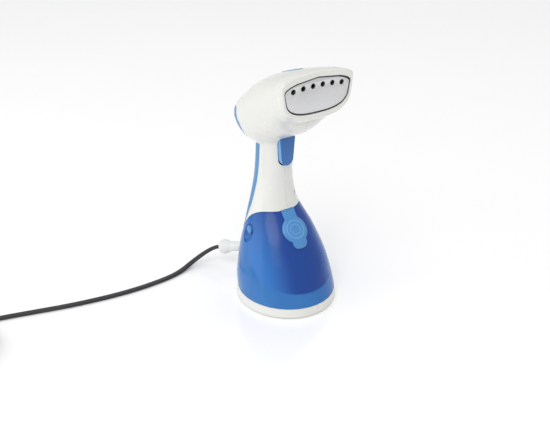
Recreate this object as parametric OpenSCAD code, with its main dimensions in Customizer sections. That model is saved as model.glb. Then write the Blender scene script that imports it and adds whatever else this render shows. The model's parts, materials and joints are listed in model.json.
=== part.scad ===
// Hand-held garment steamer: bell-shaped dock body, slide-off water tank, forward steam head.
// Origin: centre of the base on the surface it stands on. -Y is the steam side, +Z is up.

/* [Base and body] */
// Width of the base
base_w = 112.2; // [92:0.2:136]
// Depth of the base, front to back
base_d = 119; // [98:1:144]
// Height of the white base ring
base_h = 12; // [10:0.5:16]
// How far the base ring narrows towards its top, each side
ring_taper = 1; // [0.5:0.1:2]
// Height of the water tank above the base ring
tank_h = 96; // [80:1:116]
// Length of the grip between the tank and the head
grip_l = 70; // [58:1:86]
// Width of the grip
handle_w = 40.4; // [36:0.4:49]
// Depth of the grip
handle_d = 42.6; // [37:0.2:52]
// How far the grip's centre stands behind the base's centre
handle_y = 23; // [18:0.5:28]
// Wall of the moulded housing
wall = 2.6; // [2.2:0.1:3.2]

/* [Head] */
// Width of the head behind the nozzle
head_w = 70; // [60:1:84]
// Width of the nozzle's face across its upper corners
nozzle_w = 91; // [85:1:109]
// Height of the nozzle's face
nozzle_h = 50; // [47:0.5:60]
// Distance of the nozzle's face in front of the base's centre
nozzle_y = 52; // [50:0.5:60]
// Depth of the nozzle ring
nozzle_d = 16; // [14:0.5:18]
// Width of the nozzle's rim at its sides
rim_w = 3.6; // [3:0.1:4.4]
// Height of the nozzle's rim above and below the plate
rim_h = 6.4; // [5.4:0.1:7.2]
// Number of steam jets
jets = 6; // [4:1:7]
// Spacing of the steam jets
jet_pitch = 11.9; // [9:0.1:12.2]
// Radius of each jet hole in the steam plate
jet_r = 2.8; // [2.2:0.1:3.0]

/* [Controls] */
// Width of the trigger
trigger_w = 19.5; // [16:0.5:20]
// Height of the trigger
trigger_h = 34; // [28:1:38]
// Radius of the trigger's hinge pin
pin_r = 1.5; // [1.2:0.1:2]
// Height of the release buttons above the base ring
button_up = 73; // [66:1:78]
// Travel of a release button
button_travel = 2.5; // [2:0.1:3]

/* [Tank] */
// Wall of the translucent tank
tank_wall = 2.2; // [1.8:0.1:2.8]
// Height of the tank's sloping floor at the front, above the base ring
floor_up = 16; // [12:1:22]
// Radius of the fill hole
fill_r = 9.9; // [8.5:0.1:11]

/* [Steam works] */
// Width of the boiler block
boiler_w = 52; // [44:1:56]
// Depth of the boiler block
boiler_d = 23; // [19:0.5:25]
// Height of the boiler block
boiler_h = 24; // [21:0.5:25]
// Outer radius of the pump's winding
coil_r = 12; // [9.5:0.5:13]
// Length of the pump's tube
pump_l = 34; // [28:1:38]
// Outer radius of the water hoses
hose_r = 2.6; // [2.2:0.1:3]

/* [Hidden] */

gap = 0.4;            // between the tank and the dock it slides out of
seam = 0.2;           // between fixed mouldings that meet
slot_gap = 0.5;       // round the trigger
sides = 32;           // points in a ring of the body's surface
reach = 300;          // longer than any cut has to be
skin_t = 1.4;         // thickness of the blue grip, trim and lens
skin_gap = 0.1;       // under and around those skins
neck_z = base_h + tank_h + grip_l;
tank_z = base_h + tank_h;
bay_y = handle_y + 14.5;   // rear wall of the tank bay
corner_y = 32;             // the bay's rounded upper rear corner, front to back
corner_z = 48;             // and up and down
face_z = neck_z + 51;      // bottom of the nozzle's face
nozzle_flare = 0.05;
nozzle_half = nozzle_w / 2 / (1 + nozzle_flare);
front_y = -nozzle_y;
join_y = front_y + nozzle_d;   // where the nozzle ring meets the housing

// ---- curves and lofts ----
function unit(v) = v / norm(v);
function mix(a, b, t) = a + (b - a) * t;
// A smooth curve through a list of rows, at position u counted in rows
function row_at(rows, u) =
  let (i = min(floor(u), len(rows) - 2), t = u - i,
       p = rows[max(i - 1, 0)], q = rows[i], r = rows[i + 1], s = rows[min(i + 2, len(rows) - 1)])
  0.5 * (2 * q + (r - p) * t + (2 * p - 5 * q + 4 * r - s) * t * t
         + (3 * q - p - 3 * r + s) * t * t * t);
function fine(rows, steps) =
  [for (k = [0 : (len(rows) - 1) * steps]) row_at(rows, k / steps)];
// One ring of the body. A row is [front y, front z, rear y, rear z, half width, flare,
// squareness of the upper half, of the lower half, drop of the upper edge at its ends].
function ring(row, inset, count, inset_h = 0) =
  let (span = [row[2] - row[0], row[3] - row[1]], dir = unit(span),
       h = norm(span) / 2 - inset - inset_h, w = row[4] - inset,
       mid = [(row[0] + row[2]) / 2, (row[1] + row[3]) / 2])
  [for (i = [0 : count - 1])
    let (c = cos(360 * i / count), s = sin(360 * i / count), n = s > 0 ? row[6] : row[7],
         u = sign(c) * pow(abs(c), 2 / n), v = sign(s) * pow(abs(s), 2 / n),
         along = h * v - row[8] * u * u * max(v, 0))
    [w * (1 + row[5] * v) * u, mid[0] + dir[0] * along, mid[1] + dir[1] * along]];
function skin_faces(rings, count) = concat(
  [[for (j = [0 : count - 1]) j]],
  [for (i = [0 : rings - 2], j = [0 : count - 1])
    [i * count + j, (i + 1) * count + j, (i + 1) * count + (j + 1) % count]],
  [for (i = [0 : rings - 2], j = [0 : count - 1])
    [i * count + j, (i + 1) * count + (j + 1) % count, i * count + (j + 1) % count]],
  [[for (j = [count - 1 : -1 : 0]) (rings - 1) * count + j]]);
module loft(rings) {
  count = len(rings[0]);
  polyhedron(points = [for (r = rings, p = r) p], faces = skin_faces(len(rings), count));
}
// A tube along a list of points; up sets which way its first radius points.
module sweep(path, r_up, r_side, up, count) {
  last = len(path) - 1;
  loft([for (i = [0 : last])
    let (t = unit(path[min(i + 1, last)] - path[max(i - 1, 0)]),
         n = unit(up - (up * t) * t), b = cross(t, n))
    [for (j = [0 : count - 1])
      path[i] + n * r_up * cos(360 * j / count) + b * r_side * sin(360 * j / count)]]);
}
// Turns the Z axis to point from a to b, with its origin at a.
module aim(a, b) {
  d = b - a;
  translate(a) rotate([0, acos(d[2] / norm(d)), atan2(d[1], d[0])]) children();
}
module along_y(y) { translate([0, y, 0]) rotate([-90, 0, 0]) children(); }
module along_x(x) { translate([x, 0, 0]) rotate([0, 90, 0]) children(); }
// A thin coil spring along Z.
module spring(r, wire, h, turns) {
  linear_extrude(height = h, twist = -360 * turns, slices = turns * 8)
    translate([r, 0]) circle(wire, $fn = 6);
}
// Makes one moulded surface of shapes that are cut from lofts.
module moulded() { resize([0, 0, 0]) children(); }

// ---- the body's outer surface ----
// [height, width, depth, lean], each as a share from the base ring to the neck
STATIONS = [
  [0.000, 1.000, 1.000, 0.00], [0.096, 0.983, 0.919, 0.17], [0.226, 0.871, 0.772, 0.32],
  [0.325, 0.739, 0.610, 0.51], [0.437, 0.544, 0.422, 0.70], [0.558, 0.295, 0.170, 1.03],
  [0.636, 0.175, 0.073, 1.11], [0.765, 0.043, 0.019, 1.11], [0.892, 0.000, 0.000, 1.06],
  [1.000, 0.000, 0.000, 1.00]];
function body_row(s) =
  let (y = handle_y * s[3], z = mix(base_h, neck_z, s[0]),
       w = mix(handle_w / 2, base_w / 2 - ring_taper, s[1]),
       d = mix(handle_d / 2, base_d / 2 - ring_taper, s[2]))
  [y - d, z, y + d, z, w, 0, 2, 2, 0];
// The head turns from the grip to the nozzle:
// [front y, front z, rear y, rear z, share of the way from grip to head width,
//  share towards the nozzle's width, flare, squareness above, below, drop]
TURN = [
  [-1.5, 13.5, 70, 17, 0.68, 0, 0, 2.05, 2.05, 0],
  [-5, 17, 77.4, 31.5, 0.92, 0, 0, 2.05, 2.1, 0],
  [-10, 19.5, 73, 42.5, 1, 0, 0, 2.05, 2.15, 0],
  [-15.5, 22, 60.5, 52.5, 1, 0.05, 0, 2.05, 2.25, 0],
  [-21, 25, 45.5, 64, 1, 0.12, 0.02, 2.1, 2.35, 0],
  [-26.5, 29, 28.5, 74.5, 1, 0.3, 0.03, 2.2, 2.4, 0],
  [-31.5, 34, 9, 84, 1, 0.56, 0.04, 2.5, 2.45, 1],
  [-34.8, 39.5, -12, 92, 1, 0.82, 0.05, 3.1, 2.5, 4]];
HEAD = concat([
  [handle_y - handle_d / 2 - 0.6, neck_z + 6, handle_y + handle_d / 2 + 1, neck_z + 4.2,
    handle_w / 2 + 0.4, 0, 2, 2, 0],
  [handle_y - handle_d / 2 - 1.2, neck_z + 10, 59, neck_z + 6.5, mix(handle_w, head_w, 0.3) / 2, 0, 2, 2, 0]],
  [for (t = TURN) [t[0], neck_z + t[1], t[2], neck_z + t[3],
    mix(mix(handle_w, head_w, t[4]) / 2, nozzle_half, t[5]), t[6], t[7], t[8], t[9]]],
  [[join_y, face_z - nozzle_d * 0.47, join_y, face_z + nozzle_h - 2.5, nozzle_half - 0.4, 0.05, 5.8,
    2.6, 6.2]]);
BODY = fine(concat([for (s = STATIONS) body_row(s)], HEAD), 2);
// The nozzle ring's sections run on from the last row of the head.
NOZZLE = [
  HEAD[len(HEAD) - 1],
  [front_y + nozzle_d / 2, face_z - nozzle_d * 0.22, front_y + nozzle_d / 2,
    face_z + nozzle_h - 0.6, nozzle_half, 0.05, 7.5, 2.7, 7],
  [front_y + 1.5, face_z, front_y + 1.5, face_z + nozzle_h, nozzle_half, nozzle_flare, 9, 2.8, 7.4],
  [front_y, face_z + 1.2, front_y, face_z + nozzle_h - 1.2, nozzle_half - 1.2, nozzle_flare, 9, 2.8, 7.4]];

module body_loft(inset) { loft([for (r = BODY) ring(r, inset, sides)]); }
module nozzle_loft(inset, inset_h, near, far) {
  ends = [near, 0, 0, far];
  loft([for (k = [0 : 3]) [for (p = ring(NOZZLE[k], inset, 48, inset_h)) p + [0, ends[k], 0]]]);
}
// A region of the side view, cut right across the body
module side_cut(points, half) {
  rotate([90, 0, 90]) linear_extrude(height = 2 * half, center = true) polygon(points);
}
// The bay that the tank slides out of, made larger by grow
function bay_points(grow) = concat(
  [[-reach, base_h - 5], [-reach, tank_z + grow]],
  [for (a = [90 : -10 : 0])
    [bay_y - corner_y + (corner_y + grow) * cos(a), tank_z - corner_z + (corner_z + grow) * sin(a)]],
  [[bay_y + grow, base_h - 5]]);
module bay(grow) { side_cut(bay_points(grow), reach / 2); }

// Side-view outline of the blue grip: the rear of the handle and of the column
function grip_points(gap_in) = [
  [handle_y - 1 - gap_in, neck_z + 5.5], [handle_y + 1 - gap_in, neck_z - 18],
  [handle_y + 3 - gap_in, neck_z - 43], [handle_y + 6 - gap_in, tank_z - 4],
  [handle_y + 10 - gap_in, tank_z - 22], [bay_y + 4 - gap_in, tank_z - 42],
  [bay_y + 5 - gap_in, base_h + 6 - gap_in], [reach, base_h + 6 - gap_in], [reach, neck_z + 2.6],
  [handle_y + handle_d / 2 - 3, neck_z + 2.6]];
function trim_points(gap_in) = [
  [53 - gap_in, neck_z + 39 + gap_in], [reach, neck_z + 39 + gap_in],
  [reach, neck_z + 9.5 - gap_in], [36 - gap_in, neck_z + 9.5 - gap_in],
  [36 - gap_in, neck_z + 12], [41 - gap_in, neck_z + 26]];
module skin(points, proud) {
  intersection() {
    difference() { body_loft(-proud); body_loft(skin_t); }
    side_cut(points, reach / 2);
  }
}
module skin_pocket(points) {
  difference() { side_cut(points, reach / 2); body_loft(skin_t + skin_gap); }
}
lens_l = 32;
lens_w = 13;
lens_y = -8;
module lens_prism(grow) {
  translate([0, lens_y, neck_z + 60]) linear_extrude(height = 60)
    polygon([for (a = [0 : 15 : 345]) [(lens_w / 2 + grow) * cos(a), (lens_l / 2 + grow) * sin(a)]]);
}

// ---- trigger, its slot and its hinge ----
trigger_top = neck_z + 17;
trigger_face = handle_y - handle_d / 2 - 3.2;
pivot_y = trigger_face + 11.6;
pivot_z = trigger_top - 6;
trigger_drop = 1.2;   // room under the trigger as it swings
ear_t = 2;
module trigger_outline(grow, drop) {
  r = trigger_w / 2 - 1;
  hull() {
    translate([-r + 2, trigger_top - 3.5]) circle(3 + grow, $fn = 32);
    translate([r - 2, trigger_top - 3.5]) circle(3 + grow, $fn = 32);
    translate([0, trigger_top - trigger_h + r - 1 - drop]) circle(r - 1 + grow, $fn = 48);
  }
}
module trigger_prism(y0, y1, grow, drop) {
  translate([0, y1, 0]) rotate([90, 0, 0]) linear_extrude(height = y1 - y0)
    trigger_outline(grow, drop);
}

// ---- screws that close the housing ----
screw_r = 1.3;
head_r = 2.6;
screw_seat = 10;      // x of the screw heads
screw_fit = 0.15;
SCREWS = [
  [handle_y - handle_d / 2 + 7.5, tank_z + 13], [58, neck_z + 34],
  [bay_y + 9, base_h + 9], [-14, neck_z + 41]];

// ---- cord entry ----
relief_in = [-7.2, 50.6, 40.1];
relief_out = [-29.9, 93.5, 26.5];
relief_neck = 6;
relief_flange = 8.5;

module housing() {
  difference() {
    union() {
      difference() {
        body_loft(0);
        difference() {
          body_loft(wall);
          bay(wall);
          translate([-reach / 2, handle_y + handle_d / 2 - wall, neck_z - 6])
            cube([reach, reach, 14.5]);
          translate([-reach / 2, -reach / 2, 0]) cube([reach, reach, base_h + wall]);
          for (s = SCREWS) translate([0, s[0], s[1]]) along_x(-reach / 2) cylinder(r = head_r + 1.6,
            h = reach, $fn = 24);
        }
      }
    }
    bay(0);
    for (s = SCREWS) translate([0, s[0], s[1]]) {
      along_x(-screw_seat) cylinder(r = screw_r + screw_fit, h = 3 * screw_seat, $fn = 24);
      along_x(screw_seat - screw_fit) cylinder(r = head_r + screw_fit, h = reach, $fn = 24);
    }
    trigger_prism(-reach, pivot_y + 4, slot_gap, trigger_drop);
    translate([-trigger_w / 2 - slot_gap - ear_t - 0.3, pivot_y - 3.6, pivot_z - 4.4])
      cube([trigger_w + 2 * (slot_gap + ear_t + 0.3), 16, 8.8]);
    skin_pocket(grip_points(skin_gap));
    skin_pocket(trim_points(skin_gap));
    intersection() { lens_prism(skin_gap); difference() { cube(2 * reach,
      center = true); body_loft(skin_t + skin_gap); } }
    aim(relief_in, relief_out) cylinder(r = relief_neck + seam, h = 40, $fn = 32);
    translate([0, 0, port_z]) along_y(bay_y - 12) cylinder(r = spigot_r + seam, h = 20, $fn = 32);
    for (x = [-1, 1]) translate([x * base_screw_x, base_screw_y, base_h - 1])
      cylinder(r = screw_r + screw_fit, h = 8, $fn = 24);
    translate([0, lens_y, neck_z + 70]) cylinder(r = lamp_r + 0.4, h = 60, $fn = 24);
    aim(relief_in, relief_out) translate([0, 0, -0.3]) cylinder(r = relief_flange + seam, h = 2.6, $fn = 32);
    translate([0, 0, port_z]) along_y(bay_y + 0.8) cylinder(r = flange_r + seam, h = 6, $fn = 32);
    knuckle_groove();
  }
}
module half(side) {
  intersection() {
    children();
    translate([side > 0 ? seam / 2 : -reach, -reach, 0]) cube([reach - seam / 2, 2 * reach, 2 * reach]);
  }
}
module housing_left() { color("whitesmoke") moulded() half(-1) housing(); }
module housing_right() { color("whitesmoke") moulded() half(1) housing(); }
module housing_screws() {
  color("silver") for (s = SCREWS) translate([0, s[0], s[1]]) {
    along_x(-screw_seat + 1) cylinder(r = screw_r, h = 2 * screw_seat - 0.5, $fn = 32);
    along_x(screw_seat) cylinder(r = head_r, h = 2, $fn = 32);
  }
}

// ---- base ----
pad_t = 1.2;
pad_in = 2.5;         // the pad is set in from the base ring
base_screw_x = 18;
base_screw_y = bay_y + 8;
module base_ring(w_low, w_high, z0, z1) {
  loft([[for (a = [0 : 7.5 : 352.5]) [(base_w / 2 - w_low) * cos(a), (base_d / 2 - w_low) * sin(a), z0]],
        [for (a = [0 : 7.5 : 352.5]) [(base_w / 2 - w_high) * cos(a), (base_d / 2 - w_high) * sin(a), z1]]]);
}
module base() {
  color("whitesmoke") difference() {
    moulded() difference() {
      base_ring(0.5, ring_taper, pad_t, base_h - seam);
      base_ring(wall + 0.5, wall + ring_taper, pad_t - 1, base_h - wall);
    }
    for (x = [-1, 1]) translate([x * base_screw_x, base_screw_y, 0])
      cylinder(r = screw_r + screw_fit, h = base_h + 1, $fn = 24);
  }
}
module base_pad() {
  color("dimgray") linear_extrude(height = pad_t)
    polygon([for (a = [0 : 7.5 : 352.5]) [(base_w / 2 - pad_in) * cos(a), (base_d / 2 - pad_in) * sin(a)]]);
}
module base_screws() {
  color("silver") for (x = [-1, 1]) translate([x * base_screw_x, base_screw_y, base_h - wall - 2]) {
    cylinder(r = head_r, h = 2, $fn = 32);
    translate([0, 0, 1]) cylinder(r = screw_r, h = 7, $fn = 32);
  }
}

// ---- blue skins and the indicator ----
lamp_r = 2.5;
module rear_grip() {
  color("steelblue") moulded() difference() {
    skin(grip_points(0), 0);
    bay(wall);
    aim(relief_in, relief_out) cylinder(r = relief_neck + seam, h = 40, $fn = 32);
    aim(relief_in, relief_out) translate([0, 0, -0.3]) cylinder(r = relief_flange + seam, h = 2.6, $fn = 32);
    for (s = SCREWS) translate([0, s[0], s[1]]) along_x(screw_seat - screw_fit)
      cylinder(r = head_r + screw_fit, h = reach, $fn = 24);
  }
}
module head_rear_trim() {
  color("steelblue") moulded() difference() {
    skin(trim_points(0), 0);
    for (s = SCREWS) translate([0, s[0], s[1]]) along_x(screw_seat - screw_fit)
      cylinder(r = head_r + screw_fit, h = reach, $fn = 24);
  }
}
module indicator_lens() {
  color("steelblue") moulded() intersection() {
    difference() { body_loft(-0.5); body_loft(skin_t); }
    lens_prism(0);
  }
}
module indicator_lamp() {
  color("orange") translate([0, lens_y, neck_z + 76]) {
    cylinder(r = lamp_r, h = 9, $fn = 32);
    translate([0, 0, -1]) cylinder(r = lamp_r + 1.2, h = 1.2, $fn = 32);
  }
}

// ---- nozzle ----
gasket_t = 1.5;
plate_t = 2;
plate_y = front_y + 0.9;    // front of the steam plate, a little inside the rim
face_row = NOZZLE[2];
jet_z = face_z + nozzle_h * 0.695;
function jet_x(k) = (k - (jets - 1) / 2) * jet_pitch;
function jet_up(k) = jet_z - 0.0022 * jet_x(k) * jet_x(k);
function outline(inset) = [for (p = ring(face_row, inset, 48, rim_h - rim_w)) [p[0], p[2]]];
module face_prism(inset, y0, y1) {
  translate([0, y1, 0]) rotate([90, 0, 0]) linear_extrude(height = y1 - y0) polygon(outline(inset));
}
module at_jets() { for (k = [0 : jets - 1]) translate([jet_x(k), 0, jet_up(k)]) children(); }
module nozzle_ring() {
  color("white") moulded() difference() {
    nozzle_loft(0, 0, -seam, 0);
    nozzle_loft(rim_w + 0.1, rim_h - rim_w, 1, 1.5);
    face_prism(rim_w, front_y - 1, plate_y + 6);
  }
}
module plate_gasket() {
  color("black") difference() {
    face_prism(rim_w + seam, plate_y + 0.2, plate_y + 4);
    face_prism(rim_w + gasket_t, plate_y - 1, plate_y + 5);
  }
}
module steam_plate() {
  color("silver") difference() {
    face_prism(rim_w + gasket_t + 0.1, plate_y, plate_y + plate_t);
    at_jets() along_y(plate_y - 1) cylinder(r = jet_r, h = plate_t + 2, $fn = 48);
  }
}
manifold_y = plate_y + plate_t + 0.1;
manifold_d = 5;
manifold_lo = face_z + 17;
manifold_hi = jet_z + 2.8;
manifold_w = min((jets - 1) * jet_pitch + 2 * jet_r + 1.4, nozzle_w - 22);
module steam_jets() {
  color("dimgray") at_jets() along_y(plate_y + 0.5) difference() {
    cylinder(r = jet_r - 0.1, h = plate_t - 0.5, $fn = 48);
    translate([0, 0, -1]) cylinder(r = jet_r - 0.9, h = plate_t + 2, $fn = 48);
  }
}
module steam_manifold() {
  color("silver") difference() {
    intersection() {
      translate([-manifold_w / 2, manifold_y, manifold_lo])
        cube([manifold_w, manifold_d, manifold_hi - manifold_lo]);
      face_prism(rim_w + gasket_t + 0.3, manifold_y - 1, manifold_y + manifold_d + 1);
    }
    translate([-manifold_w / 2 + 1.2, manifold_y - 1, manifold_lo + 1.5])
      cube([manifold_w - 2.4, manifold_d - 0.5, manifold_hi - manifold_lo - 3]);
    translate([0, 0, manifold_lo + 6]) along_y(manifold_y) cylinder(r = 2, h = 9, $fn = 32);
  }
}

// ---- boiler ----
boiler_y = manifold_y + manifold_d + 0.1;
boiler_z = face_z + 7;
cover_y = boiler_y + boiler_d + 0.8;
cover_t = 2.5;
boiler_wall = 4.5;
element_r = 3;
element_bend = 11;
element_z = boiler_z + boiler_h / 2;
module boiler_block(y0, y1) {
  translate([-boiler_w / 2, y0, boiler_z]) cube([boiler_w, y1 - y0, boiler_h]);
}
module boiler_chamber(y0, y1) {
  translate([-boiler_w / 2 + boiler_wall, y0, boiler_z + boiler_wall - 1])
    cube([boiler_w - 2 * boiler_wall, y1 - y0, boiler_h - 2 * boiler_wall + 2]);
}
module at_boiler_screws() {
  for (x = [-1, 1], z = [0, 1]) translate([x * (boiler_w / 2 - 2.3), 0,
    boiler_z + (z ? boiler_h - 2.3 : 2.3)]) children();
}
module boiler_body() {
  color("silver") difference() {
    boiler_block(boiler_y, boiler_y + boiler_d);
    boiler_chamber(boiler_y + 3, boiler_y + boiler_d + 1);
    translate([0, 0, manifold_lo + 6]) along_y(boiler_y - 1) cylinder(r = 2, h = 6, $fn = 32);
    at_boiler_screws() along_y(boiler_y + boiler_d - 8) cylinder(r = 1.3, h = 9, $fn = 32);
  }
}
module boiler_gasket() {
  color("firebrick") difference() {
    boiler_block(boiler_y + boiler_d, cover_y);
    boiler_chamber(boiler_y + boiler_d - 1, cover_y + 1);
    at_boiler_screws() along_y(boiler_y + boiler_d - 1) cylinder(r = 1.3, h = 4, $fn = 32);
  }
}
inlet_z = boiler_z + 5.6;
module boiler_cover() {
  color("silver") difference() {
    union() {
      boiler_block(cover_y, cover_y + cover_t);
      translate([0, 0, inlet_z]) along_y(cover_y) cylinder(r = hose_r - 1, h = cover_t + 7, $fn = 32);
    }
    translate([0, 0, inlet_z]) along_y(cover_y - 1) cylinder(r = hose_r - 1.8, h = cover_t + 9, $fn = 32);
    for (x = [-1, 1]) translate([x * element_bend, 0, element_z]) along_y(cover_y - 1)
      cylinder(r = element_r + 0.05, h = cover_t + 2, $fn = 48);
    at_boiler_screws() along_y(cover_y - 1) cylinder(r = 1.3, h = cover_t + 2, $fn = 32);
  }
}
module boiler_screws() {
  color("gray") at_boiler_screws() {
    along_y(cover_y + cover_t) cylinder(r = 2.1, h = 1.5, $fn = 32);
    along_y(cover_y + cover_t - 9) cylinder(r = 1.2, h = 9.5, $fn = 32);
  }
}
module heating_element() {
  bend_y = boiler_y + 7 + element_bend;
  color("dimgray") union() {
    translate([0, bend_y, element_z]) rotate([0, 0, 180]) rotate_extrude(angle = 180, $fn = 64)
      translate([element_bend, 0]) circle(element_r, $fn = 32);
    for (x = [-1, 1]) translate([x * element_bend, 0, element_z]) {
      along_y(bend_y) cylinder(r = element_r, h = cover_y + 8 - bend_y, $fn = 32);
      along_y(cover_y + 7) cylinder(r = 1.1, h = 5, $fn = 24);
    }
  }
}
module thermostat() {
  color("black") translate([0, boiler_y + boiler_d / 2, boiler_z + boiler_h + 0.05]) union() {
    cylinder(r = 8, h = 3.6, $fn = 48);
    translate([-5, -2.5, 3]) cube([2, 5, 4]);
    translate([3, -2.5, 3]) cube([2, 5, 4]);
  }
}
module thermal_fuse() {
  color("silver") translate([0, boiler_y + boiler_d / 2, boiler_z - 2.3]) union() {
    along_x(-6) cylinder(r = 2, h = 12, $fn = 32);
    along_x(-16) cylinder(r = 0.6, h = 32, $fn = 24);
  }
}

// ---- trigger and switch ----
module trigger() {
  color("royalblue") difference() {
    union() {
      difference() {
        trigger_prism(trigger_face, trigger_face + 8, 0, 0);
        trigger_prism(trigger_face + 2.2, trigger_face + 9, -2, 0);
      }
      translate([-trigger_w / 2 + 0.4, trigger_face + 3, pivot_z - 3.2])
        cube([4, pivot_y - trigger_face, 6.4]);
      translate([trigger_w / 2 - 4.4, trigger_face + 3, pivot_z - 3.2])
        cube([4, pivot_y - trigger_face, 6.4]);
      translate([-2, trigger_face + 2, switch_z - 2]) cube([4, 6.4, 4]);
    }
    translate([0, pivot_y, pivot_z]) along_x(-reach / 2)
      cylinder(r = pin_r + 0.05, h = reach, $fn = 48);
  }
}
module trigger_pin() {
  w = trigger_w + 2 * (slot_gap + ear_t);
  color("silver") translate([0, pivot_y, pivot_z]) along_x(-w / 2)
    cylinder(r = pin_r, h = w, $fn = 48);
}
switch_z = trigger_top - 18;
switch_y = trigger_face + 11.6;
spring_z = trigger_top - trigger_h + 8;
plate_back = switch_y + 10.4;
module switch_bracket() {
  ear_x = trigger_w / 2 + slot_gap;
  color("gainsboro") difference() {
    union() {
      translate([-ear_x - ear_t, plate_back, trigger_top - trigger_h + 2])
        cube([2 * (ear_x + ear_t), 1.5, trigger_h + 2]);
      for (x = [-ear_x - ear_t, ear_x]) translate([x, pivot_y - 3.2, pivot_z - 4])
        cube([ear_t, plate_back - pivot_y + 3.5, 8]);
      translate([0, 0, spring_z]) along_y(plate_back - 3) cylinder(r = 1.6, h = 3.2, $fn = 32);
    }
    translate([0, pivot_y, pivot_z]) along_x(-reach / 2)
      cylinder(r = pin_r + 0.02, h = reach, $fn = 48);
  }
}
module trigger_spring() {
  y0 = trigger_face + 2.4;
  color("silver") translate([0, 0, spring_z]) along_y(y0)
    spring(2.6, 0.35, plate_back - 0.1 - y0, 5);
}
module microswitch() {
  color("black") union() {
    translate([-3.2, switch_y, switch_z - 4.5]) cube([6.4, 10.2, 14]);
    translate([-1.2, switch_y - 0.8, switch_z - 1.5]) cube([2.4, 1, 3]);
  }
}
board_y = handle_y + 26;
module control_board() {
  color("seagreen") union() {
    translate([-17, board_y, neck_z + 20]) cube([34, 1.6, 24]);
    translate([-12, board_y - 6, neck_z + 24]) cube([10, 6.2, 8]);
    translate([7, 0, neck_z + 34]) along_y(board_y - 8) cylinder(r = 4, h = 8.2, $fn = 32);
    translate([-9, board_y - 4, neck_z + 36]) cube([8, 4.2, 5]);
  }
}

// ---- pump ----
pump_y = handle_y + 6;
pump_z = tank_z + 14;      // bottom of the pump's tube
tube_r = 5.6;
plunger_r = 4.6;
plunger_fit = 0.35;
coil_z = pump_z + 4;
coil_h = pump_l - 12;
plunger_z = pump_z + 7;
plunger_l = 16;
stroke = 3;
module pump_tube() {
  color("gainsboro") translate([0, pump_y, 0]) difference() {
    union() {
      translate([0, 0, pump_z]) cylinder(r = tube_r, h = pump_l, $fn = 48);
      translate([0, 0, pump_z - 5]) cylinder(r = hose_r - 1, h = 6, $fn = 32);
      translate([0, 0, pump_z + pump_l - 1]) cylinder(r = hose_r - 1, h = 6, $fn = 32);
    }
    translate([0, 0, pump_z + 1]) cylinder(r = plunger_r + plunger_fit, h = pump_l - 2, $fn = 48);
    translate([0, 0, pump_z - 6]) cylinder(r = hose_r - 1.8, h = pump_l + 12, $fn = 32);
  }
}
module pump_coil() {
  color("peru") translate([0, pump_y, coil_z]) difference() {
    union() {
      cylinder(r = coil_r, h = 1.5, $fn = 64);
      cylinder(r = coil_r - 1.5, h = coil_h, $fn = 64);
      translate([0, 0, coil_h - 1.5]) cylinder(r = coil_r, h = 1.5, $fn = 64);
    }
    translate([0, 0, -1]) cylinder(r = tube_r + 0.1, h = coil_h + 2, $fn = 48);
  }
}
module pump_frame() {
  t = 1.2;
  color("silver") difference() {
    translate([-coil_r - 0.3 - t, pump_y - 7, coil_z - 0.1 - t])
      cube([2 * (coil_r + 0.3 + t), 14, coil_h + 0.2 + 2 * t]);
    translate([-coil_r - 0.3, pump_y - 8, coil_z - 0.1]) cube([2 * coil_r + 0.6, 16, coil_h + 0.2]);
    translate([0, pump_y, coil_z - 5]) cylinder(r = tube_r + 0.1, h = coil_h + 10, $fn = 48);
  }
}
module pump_plunger() {
  color("gray") translate([0, pump_y, plunger_z]) difference() {
    cylinder(r = plunger_r, h = plunger_l, $fn = 48);
    translate([0, 0, -1]) cylinder(r = 1.4, h = plunger_l + 2, $fn = 32);
  }
}
module pump_spring() {
  z0 = plunger_z + plunger_l + 0.1;
  color("silver") translate([0, pump_y, z0]) spring(3.2, 0.35, pump_z + pump_l - 1.1 - z0, 4);
}

// ---- hoses inside the body ----
port_z = tank_z - 30;
spigot_r = 3.6;
flange_r = 6.5;
spigot_end = bay_y + 7.6;
module suction_hose() {
  path = fine([[0, spigot_end - 3, port_z], [0, spigot_end + 0.6, port_z + 0.8],
    [0, spigot_end + 2.4, port_z + 4.6],
    [0, spigot_end + 1.4, port_z + 12], [0, spigot_end - 4, port_z + 22], [0, spigot_end - 11, port_z + 29],
    [0, pump_y + 0.6, pump_z - 6.5], [0, pump_y, pump_z - 3.5], [0, pump_y, pump_z - 0.1]], 3);
  color("gainsboro") difference() {
    sweep(path, hose_r, hose_r, [1, 0, 0], 10);
    translate([0, pump_y, pump_z - 5.5]) cylinder(r = hose_r - 0.95, h = 8, $fn = 32);
    translate([0, 0, port_z]) along_y(spigot_end - 5) cylinder(r = hose_r - 0.95, h = 5.2, $fn = 32);
  }
}
module delivery_hose() {
  y1 = cover_y + cover_t;
  path = fine([[0, pump_y, pump_z + pump_l + 0.1], [0, pump_y, pump_z + pump_l + 4],
    [0, pump_y + 1, pump_z + pump_l + 12], [0, pump_y + 2, neck_z + 8], [0, pump_y - 2, neck_z + 24],
    [0, pump_y - 12, neck_z + 42], [0, pump_y - 24, inlet_z - 6], [0, y1 + 14, inlet_z - 1],
    [0, y1 + 8, inlet_z], [0, y1 + 0.1, inlet_z]], 3);
  color("gainsboro") difference() {
    sweep(path, hose_r, hose_r, [1, 0, 0], 10);
    translate([0, pump_y, pump_z + pump_l - 2]) cylinder(r = hose_r - 0.95, h = 7.2, $fn = 32);
    translate([0, 0, inlet_z]) along_y(y1 - 1) cylinder(r = hose_r - 0.95, h = 8.2, $fn = 32);
  }
}

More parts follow.
